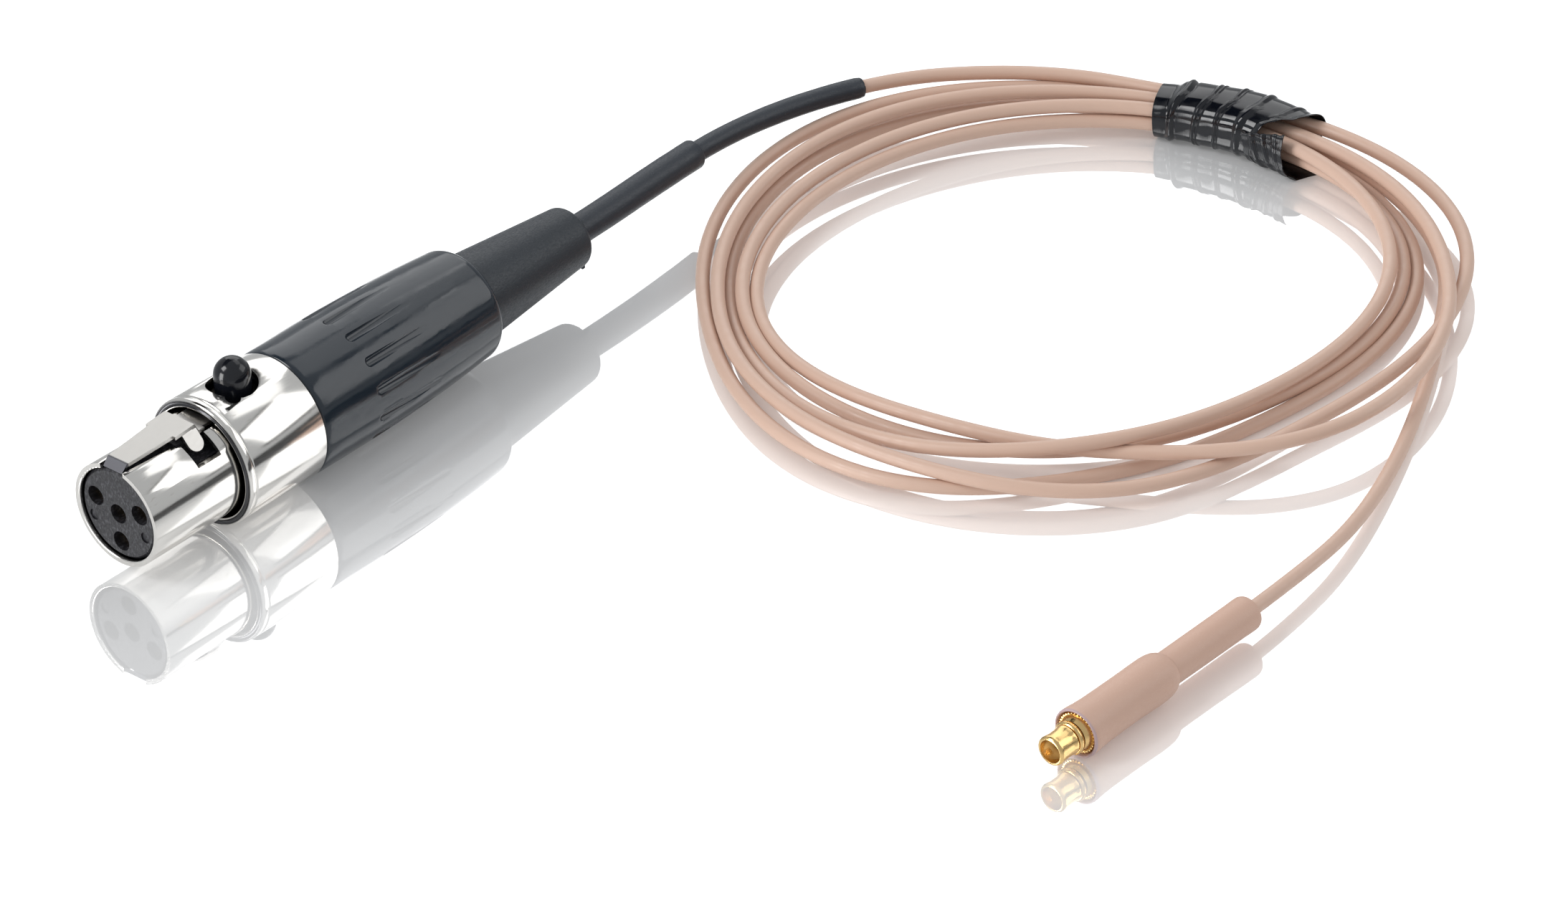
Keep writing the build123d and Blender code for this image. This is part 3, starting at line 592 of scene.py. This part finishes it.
# Distances along the tape are millimetres from its clean end, angles are about the bundle:
# 0 outwards, 90 up, 180 towards the middle of the coil, 270 down.
# TAPE_CLEAN_END is the angle of that end about the coil, and TAPE_RADIUS is how far the middle of the
# bundle lies from the coil's centre.
TAPE_CLEAN_END = 23.7
TAPE_RADIUS = 25.3
TAPE_SQUARENESS = 2.7
TAPE_THICKNESS = 0.06
TAPE_STEPS, TAPE_SEGMENTS = 620, 72
TAPE_HALF_WIDTH = [(0, 2.10), (1.1, 2.14), (1.9, 2.34), (5.0, 2.42), (8.0, 2.50), (12.3, 2.42)]
TAPE_HALF_HEIGHT = [(0, 1.74), (1.1, 1.76), (1.9, 1.95), (5.0, 2.02), (8.0, 2.08), (12.3, 1.92)]
TAPE_MIDDLE = [(0, 1.78), (1.1, 1.80), (1.9, 2.02), (8.0, 2.14), (12.3, 2.05)]
# Rolls of the tape: distance along it, half width, height.
TAPE_ROLLS = [
    (1.70, 0.40, 0.17),
    (2.15, 0.14, -0.05),
    (3.85, 0.22, 0.10),
    (4.20, 0.16, 0.08),
    (5.75, 0.20, 0.12),
    (6.05, 0.14, 0.06),
    (7.9, 0.45, 0.14),
    (10.2, 0.35, 0.10),
]
# Where the oblique end lies, by the angle about the bundle.
TAPE_EDGE = [
    (0, 12.2),
    (60, 12.3),
    (95, 11.9),
    (115, 10.9),
    (135, 10.0),
    (160, 9.7),
    (200, 9.2),
    (240, 9.4),
    (280, 10.2),
    (320, 11.4),
    (360, 12.2),
]
RIB_SPACING = 0.11
RIB_HEIGHT = 0.0018
# Flap: how far along the tape it starts, and where its torn end lies by the share of the way down.
FLAP_START = 8.4
FLAP_EDGE = [(0, 12.5), (0.12, 12.6), (0.45, 12.8), (0.75, 13.2), (1, 13.7)]
FLAP_ROWS, FLAP_COLUMNS = 170, 60
FLAP_TOP_ANGLE = 158
FLAP_BOTTOM_ANGLE = 270
FLAP_SLANT = 1.1
# Folds of the flap: distance along it, half width, height.
FLAP_FOLDS = [(9.3, 0.4, 0.16), (10.4, 0.35, 0.13), (11.5, 0.35, 0.12)]
STREAK_SPACING = 0.13
STREAK_HEIGHT = 0.008


def bumps(x, table):
    """Sum of the bumps (centre, width, size) of a table."""
    return sum(size * bump(x, centre, width) for centre, width, size in table)


def tape_point(along_mm, turn, lift):
    """Point at a distance along the tape and an angle round the bundle, lifted off it by that much."""
    a = radians(TAPE_CLEAN_END) - along_mm / TAPE_RADIUS
    t = radians(turn)
    power = TAPE_SQUARENESS
    square = (abs(cos(t)) ** power + abs(sin(t)) ** power) ** (-1 / power)
    across = TAPE_RADIUS + (table_value(TAPE_HALF_WIDTH, along_mm) * square + lift) * cos(t)
    rise = (table_value(TAPE_HALF_HEIGHT, along_mm) * square + lift) * sin(t)
    # The underside lies flat, just clear of the floor.
    lowest = 0.03 + 0.02 * cos(t) ** 2
    height = max(table_value(TAPE_MIDDLE, along_mm) + rise, lowest)
    x, y = COIL_CENTRE[0] + across * MM * cos(a), COIL_CENTRE[1] + across * MM * sin(a)
    return Vector((x, y, height * MM))


def tape_relief(along_mm, turn):
    """Height of the rolls, ribs and dents of the wound tape."""
    t = radians(turn)
    skewed = along_mm + 0.5 * sin(radians(turn - 150))
    skewed += 0.25 * noise.noise(Vector((turn / 60, along_mm, 5)))
    rolls = bumps(skewed, TAPE_ROLLS)
    ribs = RIB_HEIGHT * sin(2 * pi * along_mm / RIB_SPACING) * (1 - min(1.0, abs(rolls) / 0.12))
    dents = 0.05 * noise.noise(Vector((cos(t) * 1.3, sin(t) * 1.3, along_mm * 0.6)))
    return rolls + ribs + dents


def wound_tape(bm):
    """Ribbed sleeve of tape with one clean end and one oblique one."""
    rings = []
    for i in range(TAPE_STEPS + 1):
        ring = []
        for j in range(TAPE_SEGMENTS):
            turn = 360 * j / TAPE_SEGMENTS
            edge = table_value(TAPE_EDGE, turn) + 0.06 * noise.noise(Vector((turn / 14, 2, 7)))
            along_mm = edge * i / TAPE_STEPS
            curl = 0.22 * bump(along_mm, edge, 0.7)
            lift = tape_relief(along_mm, turn) + curl
            ring.append(bm.verts.new(tape_point(along_mm, turn, lift)))
        rings.append(ring)
    skin(bm, rings)


def tape_flap(bm):
    """Torn last turn of the tape, which hangs down the side towards the middle of the coil."""
    flap = []
    for i in range(FLAP_ROWS + 1):
        row = []
        for j in range(FLAP_COLUMNS + 1):
            down = j / FLAP_COLUMNS
            start = FLAP_START + 0.5 * down
            edge = table_value(FLAP_EDGE, down) + 0.10 * noise.noise(Vector((down * 7, 1, 3)))
            along_mm = start + (edge - start) * i / FLAP_ROWS
            top = FLAP_TOP_ANGLE - 24 * i / FLAP_ROWS
            top += 2 * noise.noise(Vector((along_mm * 2.1, 0, 4)))
            turn = top + (FLAP_BOTTOM_ANGLE - top) * down
            slant = along_mm - FLAP_SLANT * down
            folds = bumps(slant, FLAP_FOLDS)
            streaks = STREAK_HEIGHT * sin(2 * pi * slant / STREAK_SPACING)
            lift = 0.12 + 0.18 * bump(along_mm, edge, 1.6)
            lift += folds + streaks + 0.10 * bump(down, 0, 0.12)
            row.append(bm.verts.new(tape_point(along_mm, turn, lift)))
        flap.append(row)
    for near, far in zip(flap, flap[1:]):
        for j in range(FLAP_COLUMNS):
            bm.faces.new((near[j], near[j + 1], far[j + 1], far[j]))


def make_tape():
    """Tape wound round the bundle, with a torn flap over its near side."""
    bm = bmesh.new()
    wound_tape(bm)
    tape_flap(bm)
    tape = mesh_object("tape", bm, 60.0)
    film = tape.modifiers.new("film", "SOLIDIFY")
    film.thickness = TAPE_THICKNESS * MM
    film.offset = -1.0
    return tape


# Outlines of the coaxial plug: rows of (millimetres behind its tip, radius), and for the ferrule also the
# depth of its teeth.
MICRO_BARREL = [
    (0.00, 0.89), (0.01, 0.96), (0.06, 1.04), (0.15, 1.09), (0.26, 1.10), (0.40, 1.08), (0.7, 1.05),
    (1.2, 1.04), (1.5, 1.06), (1.65, 1.10), (1.75, 1.10), (1.79, 0.96), (2.33, 0.95), (2.35, 1.13),
    (2.45, 1.18), (2.75, 1.36), (3.8, 1.36), (3.8, 0.80), (5.9, 0.80), (5.9, 0.30), (1.5, 0.30),
    (1.5, 0.84), (0.12, 0.84), (0.03, 0.85),
]
MICRO_RING = [
    (1.85, 1.00), (1.84, 1.12), (1.88, 1.19), (1.96, 1.235), (2.05, 1.24), (2.14, 1.235), (2.22, 1.19),
    (2.26, 1.12), (2.25, 1.00), (2.05, 0.97),
]
MICRO_FERRULE = [
    (2.78, 1.38, 0), (2.77, 1.50, 0.10), (2.82, 1.55, 0.12), (3.20, 1.55, 0.12), (3.26, 1.50, 0.06),
    (3.30, 1.44, 0), (8.4, 1.44, 0), (8.4, 0.60, 0), (6.0, 0.60, 0), (6.0, 0.83, 0),
    (3.86, 0.83, 0), (3.86, 1.38, 0),
]
MICRO_LARGE_SLEEVE = [
    (2.95, 1.61), (2.74, 1.63), (2.65, 1.68), (2.63, 1.75), (2.68, 1.81), (2.82, 1.84), (3.2, 1.82),
    (3.8, 1.76), (4.7, 1.715), (6.4, 1.70), (8.1, 1.71), (9.9, 1.73), (10.7, 1.72), (11.2, 1.68),
    (11.55, 1.60), (11.8, 1.49), (11.95, 1.38), (12.0, 1.31), (10.9, 1.30), (10.2, 1.50), (4.25, 1.52),
]
MICRO_SMALL_SLEEVE = [
    (8.6, 0.58), (8.6, 1.27), (10.9, 1.27), (13.4, 1.26), (16.4, 1.27), (19.4, 1.29), (20.4, 1.29),
    (20.7, 1.27), (20.85, 1.21), (20.9, 1.12), (20.88, 0.9), (20.8, 0.58),
]


def uneven(piece, size, depth):
    """Pushes a surface in and out a little, as shrunk or pressed parts are."""
    for vertex in piece.data.vertices:
        vertex.co += vertex.normal * noise.noise(vertex.co / (size * MM)) * depth * MM


def toothed(name, origin, outline, teeth):
    """Lathe whose rows (station, radius, depth) carry teeth of that depth."""
    bm = bmesh.new()
    rings = []
    for station, radius, depth in outline:
        ring = []
        for i in range(teeth * 8):
            a = 2 * pi * i / (teeth * 8)
            r = radius - depth * (0.5 - 0.5 * cos(teeth * a)) ** 2
            ring.append(bm.verts.new(origin + Vector((station, r * cos(a), r * sin(a))) * MM))
        rings.append(ring)
    skin(bm, rings, closed=True)
    return mesh_object(name, bm)


def moulding_nib():
    """Stub of the gate under the end of the boot."""
    outline = [(-0.2, 0.36), (0, 0.34), (0.20, 0.30), (0.42, 0.20), (0.55, 0.13), (0.56, 0.0001)]
    nib = lathe("boot_nib", Vector((0, 0, 0)), outline, 24, closed=False)
    away = Vector((0.25, -0.42, -0.87)).normalized()
    turn = away.to_track_quat("X", "Z").to_matrix().to_4x4()
    foot = Vector((boot_end.x - 0.75 * MM, plug_axis.y, plug_axis.z)) + away * 2.15 * MM
    nib.data.transform(turn)
    for vertex in nib.data.vertices:
        vertex.co += foot
    return nib


# ---------------------------------------------------------------- finishing the CAD pieces
def soften(name, width):
    """Rounds the edges of a CAD piece by that many millimetres."""
    piece = frame["nodes"][name]
    weld = piece.modifiers.new("weld", "WELD")
    weld.merge_threshold = 0.001 * MM
    edge = piece.modifiers.new("edge", "BEVEL")
    edge.width = width * MM
    edge.segments = 2
    edge.limit_method = "ANGLE"
    edge.angle_limit = radians(35)


def dress(name, made):
    """Gives a CAD piece its finish."""
    materials = frame["nodes"][name].data.materials
    materials.clear()
    materials.append(made)


# CAD pieces whose edges are rounded, and how wide the rounding is in millimetres.
EDGE_WIDTHS = (("nose_shell", 0.03), ("collar_sleeve", 0.035), ("latch_lever", 0.03), ("handle", 0.04))
# CAD pieces of the coaxial plug that are shown as they are.
INNER_MICRO_NODES = ("micro_dielectric", "micro_centre_pin", "micro_cable_end")
# Sleeves on the lead: CAD node, outer radius, bore, and how far the edge of a cut is rounded.
SHRINK_SLEEVES = (("thick_shrink_sleeve", 1.15, 0.82, 0.16), ("thin_shrink_sleeve", 0.80, 0.55, 0.12))

jacket = rubber("cable_jacket", (0.65, 0.448, 0.35), 0.40, (1.5, 1.5, 1.5), 0.006)
gilt = gilding()
tan = tan_shrink()
shrink = rubber("heat_shrink", (0.012, 0.018, 0.028), 0.40, (6, 10, 10), 0.014, (0.08, 0.095, 0.12))
copper = paint("copper", (0.72, 0.40, 0.26), 0.3, metallic=1.0)
emboss(copper, grain(copper, (3, 12, 12)), 0.01)
finishes = {
    "phenolic": moulded_insert(),
    "gilt": gilt,
    "spring_steel": stamped_steel(),
    "button_black": black_moulding("button_black", (0.006, 0.007, 0.010), 0.12, 0.006, 1.5),
    "handle_black": black_moulding("handle_black", (0.012, 0.019, 0.028), 0.13, 0.006, 1.53),
    "boot_rubber": rubber(
        "boot_rubber", (0.010, 0.016, 0.024), 0.42, (5, 9, 9), 0.024, (0.07, 0.085, 0.10)
    ),
    "clamp_plastic": rubber("clamp_plastic", (0.10, 0.10, 0.11), 0.5, (3, 3, 3), 0.004),
    "copper": copper,
    "cable_jacket": jacket,
    "tan_sleeve": tan,
    "ptfe": rubber("ptfe", (0.80, 0.78, 0.72), 0.4, (4, 4, 4), 0.003),
    "heat_shrink": shrink,
}
for part in frame["record"]["subparts"]:
    if part["material_slot"] in finishes:
        dress(part["node"], finishes[part["material_slot"]])
dress("nose_shell", nose_nickel())
dress("collar_sleeve", collar_nickel())
for name, width in EDGE_WIDTHS:
    soften(name, width)

finish_piece(cable, "plug", jacket, ["lead_cable", "cable_coil", "tail_cable"])
cord_pieces = [frame["nodes"][name] for name in INNER_MICRO_NODES]
for name, radius, bore, lip in SHRINK_SLEEVES:
    sleeve_line = along(cable_line, NOSE_X + SLEEVES_START * MM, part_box(name)[1].x)
    piece = shrunk_sleeve(name + "_look", sleeve_line, radius, bore, lip)
    cord_pieces.append(finish_piece(piece, "plug", shrink, [name]))
cord_pieces.append(finish_piece(make_tape(), "plug", vinyl(), ["tape_wrap"]))

barrel = lathe("gilt_barrel", MICRO_TIP, MICRO_BARREL, 128)
ring = lathe("gilt_ring", MICRO_TIP, MICRO_RING)
ferrule = toothed("gilt_ferrule", MICRO_TIP, MICRO_FERRULE, 34)
mouth_sleeve = lathe("tan_mouth_sleeve", MICRO_TIP, MICRO_LARGE_SLEEVE)
uneven(mouth_sleeve, 2.2, 0.035)
back_sleeve = lathe("tan_back_sleeve", MICRO_TIP, MICRO_SMALL_SLEEVE)
uneven(back_sleeve, 1.8, 0.03)
for piece, slot, finish, name in (
    (barrel, "gilt", gilt, "micro_outer_contact"),
    (ring, "gilt", gilt, "micro_snap_ring"),
    (ferrule, "gilt", gilt, "micro_crimp_ferrule"),
    (mouth_sleeve, "tan_sleeve", tan, "micro_large_sleeve"),
    (back_sleeve, "tan_sleeve", tan, "micro_small_sleeve"),
):
    cord_pieces.append(finish_piece(piece, "plug", finish, [name]))
finish_piece(moulding_nib(), "plug", finishes["boot_rubber"])


# ---------------------------------------------------------------- floor and light
FLOOR_HALF_SIZE = 3.0
FLOOR_GLOW = 0.22
# Share of the floor's light that is a mirror image, seen steeply and at a slant, and the range of the
# Facing value over which it goes from the one to the other.
MIRROR_SHARES = (0.48, 0.97)
MIRROR_FACING = (0.50, 0.93)
WORLD_RADIANCE = 0.5
# Black cards: the low wall and its strip, the one above, and the flag beside the plug.
HORIZON_AZIMUTH = 38.0
HORIZON_HALF_WIDTH = 0.7
HORIZON_NEAR, HORIZON_FAR = 0.22, 0.8
HORIZON_HEIGHT = 0.04
STRIP_HEIGHT = 0.0005
CEILING_AZIMUTH, CEILING_ELEVATION = 180.0, 56.0
CEILING_DISTANCE = 0.9
CEILING_HALF_SIZE = (0.38, 0.20)
FLAG_NEAR_LEFT = (-0.022, -0.0155)
FLAG_FAR_RIGHT = (0.030, -0.056)
FLAG_HEIGHT = 0.0040


def make_floor():
    """White acrylic that is about half a mirror, and more of one where it is seen at a slant."""
    bm = bmesh.new()
    bmesh.ops.create_grid(bm, x_segments=1, y_segments=1, size=FLOOR_HALF_SIZE)
    floor = mesh_object("floor", bm)
    made = paint("floor", (0.94, 0.94, 0.94), 0.9)
    shader_of(made).inputs["Emission Color"].default_value = (1, 1, 1, 1)
    shader_of(made).inputs["Emission Strength"].default_value = FLOOR_GLOW
    nodes = made.node_tree.nodes
    mirror = nodes.new("ShaderNodeBsdfGlossy")
    mirror.inputs["Color"].default_value = (1, 1, 1, 1)
    mirror.inputs["Roughness"].default_value = 0.02
    both = nodes.new("ShaderNodeMixShader")
    slant = nodes.new("ShaderNodeLayerWeight")
    slant.inputs["Blend"].default_value = 0.5
    share = remap(made, slant.outputs["Facing"], MIRROR_FACING, MIRROR_SHARES)
    wire(made, share, both.inputs["Fac"])
    wire(made, nodes["Principled BSDF"].outputs["BSDF"], both.inputs[1])
    wire(made, mirror.outputs["BSDF"], both.inputs[2])
    wire(made, both.outputs["Shader"], nodes["Material Output"].inputs["Surface"])
    floor.data.materials.append(made)


def card(name, corners, made):
    """Card that only reflections see. Its front is the side from which its corners run anticlockwise."""
    data = bpy.data.meshes.new(name)
    data.from_pydata([tuple(corner) for corner in corners], [], [(0, 1, 2, 3)])
    made_card = link(name, data)
    data.materials.append(made)
    made_card.visible_camera = False
    made_card.visible_diffuse = False
    made_card.visible_shadow = False


def softbox(name, azimuth, elevation, size, radiance, border, black):
    """Rectangular light a metre away that faces the object, with a black edge above and below.

    size is (width, height), and border is how wide the black edges are.
    """
    data = bpy.data.lights.new(name, "AREA")
    data.shape = "RECTANGLE"
    data.size, data.size_y = size
    data.energy = radiance * pi * size[0] * size[1]
    light = link(name, data)
    away = direction(azimuth, elevation)
    light.location = VIEW_CENTRE + away
    light.rotation_mode = "QUATERNION"
    light.rotation_quaternion = away.to_track_quat("Z", "Y")
    right = Vector((0, 0, 1)).cross(away).normalized()
    up = away.cross(right)
    half_width, half_height = size[0] / 2, size[1] / 2
    edges = {
        "above": (half_height, half_height + border),
        "below": (-half_height - border, -half_height),
    }
    for side, (low, high) in edges.items():
        corners = []
        for across, rise in ((-1, low), (1, low), (1, high), (-1, high)):
            corners.append(light.location + right * across * (half_width + border) + up * rise)
        card(f"{name}_{side}", corners, black)


def horizon_cards(black, one_sided):
    """Low dark wall in front of the object, and a dark strip just above the floor before it."""
    azimuth = radians(HORIZON_AZIMUTH)
    across = Vector((cos(azimuth), sin(azimuth), 0)) * HORIZON_HALF_WIDTH
    near = direction(HORIZON_AZIMUTH, 0) * HORIZON_NEAR
    far = direction(HORIZON_AZIMUTH, 0) * HORIZON_FAR
    lift = Vector((0, 0, STRIP_HEIGHT))
    top = Vector((0, 0, HORIZON_HEIGHT))
    strip = [near - across + lift, far - across + lift, far + across + lift, near + across + lift]
    card("dark_strip", strip, one_sided)
    card("dark_wall", [far - across, far + across, far + across + top, far - across + top], black)


def ceiling_card(black):
    """Dark card above and behind the tape, between the lights that its top shows."""
    middle = VIEW_CENTRE + direction(CEILING_AZIMUTH, CEILING_ELEVATION) * CEILING_DISTANCE
    half_width, half_height = CEILING_HALF_SIZE
    right = Vector((half_width, 0, 0))
    up = direction(CEILING_AZIMUTH, CEILING_ELEVATION - 90) * half_height
    corners = [middle - right - up, middle + right - up, middle + right + up, middle - right + up]
    card("ceiling", corners, black)


def one_sided_black():
    """Black seen from the front, nothing from behind."""
    made = paint("flag_black", (0.01, 0.01, 0.012), 1.0)
    nodes = made.node_tree.nodes
    side = nodes.new("ShaderNodeNewGeometry")
    clear = nodes.new("ShaderNodeBsdfTransparent")
    both = nodes.new("ShaderNodeMixShader")
    wire(made, side.outputs["Backfacing"], both.inputs["Fac"])
    wire(made, nodes["Principled BSDF"].outputs["BSDF"], both.inputs[1])
    wire(made, clear.outputs["BSDF"], both.inputs[2])
    wire(made, both.outputs["Shader"], nodes["Material Output"].inputs["Surface"])
    return made


def flag_card(one_sided):
    """Level black flag between the plug and the coil, whose reflection is a dark line on the nickel."""
    (x0, y0), (x1, y1) = FLAG_NEAR_LEFT, FLAG_FAR_RIGHT
    places = ((x0, y1), (x1, y1), (x1, y0), (x0, y0))
    card("flag", [(x, y, FLAG_HEIGHT) for x, y in places], one_sided)


world = bpy.data.worlds.new("studio")
world.use_nodes = True
background = world.node_tree.nodes["Background"]
background.inputs["Color"].default_value = (0.95, 0.975, 1.0, 1)
background.inputs["Strength"].default_value = WORLD_RADIANCE
bpy.context.scene.world = world
make_floor()
black_card = paint("black_card", (0.004, 0.004, 0.004), 1.0)
softbox("left_softbox", -124.0, 46.0, (0.40, 0.42), 6.8, 0.04, black_card)
softbox("low_softbox", -112.0, 10.0, (0.40, 0.34), 8.0, 0.04, black_card)
softbox("front_softbox", 48.0, 29.0, (0.67, 0.60), 1.45, 0.06, black_card)
softbox("back_softbox", 133.6, 33.0, (0.75, 0.62), 1.15, 0.001, black_card)
softbox("top_softbox", 90.0, 55.0, (0.58, 0.44), 0.88, 0.001, black_card)
one_sided_card = one_sided_black()
horizon_cards(black_card, one_sided_card)
flag_card(one_sided_card)
ceiling_card(black_card)
bpy.context.scene.view_settings.view_transform = "Standard"
